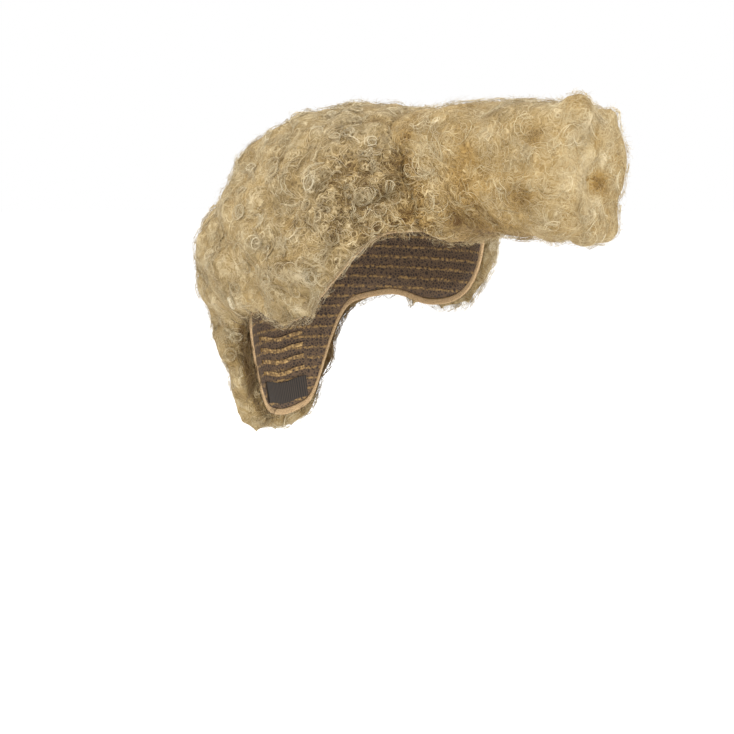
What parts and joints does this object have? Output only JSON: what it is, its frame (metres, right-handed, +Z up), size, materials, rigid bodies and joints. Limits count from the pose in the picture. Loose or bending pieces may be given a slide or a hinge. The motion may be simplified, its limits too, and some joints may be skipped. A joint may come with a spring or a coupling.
{
  "type": "curly wig",
  "caption": "Short curly wig with a thick roll of hair standing forward over the brow, sideburns and a full nape, on a net cap with a lace edge.",
  "frame": {"origin": "inside of the cap where it rests on the crown of the head", "axes": "+Z up, the brow and the roll of hair face -Y, +X to the wearer's left"},
  "size_m": [0.2093, 0.3415, 0.2662],
  "materials": {
    "cap_net": "dark brown net",
    "lace": "flesh coloured lace",
    "elastic": "black woven elastic",
    "weft": "knotted straw blond hair",
    "curly_hair": "frizzy straw blond hair",
    "roll_hair": "teased straw blond hair"
  },
  "bodies": {
    "root": {"foundation_cap": "cap_net", "lace_edge": "lace", "nape_band": "elastic", "nape_weft_1": "weft", "nape_weft_2": "weft", "nape_weft_3": "weft", "nape_weft_4": "weft", "crown_hair": "curly_hair", "front_roll": "roll_hair"}
  },
  "joints": []
}
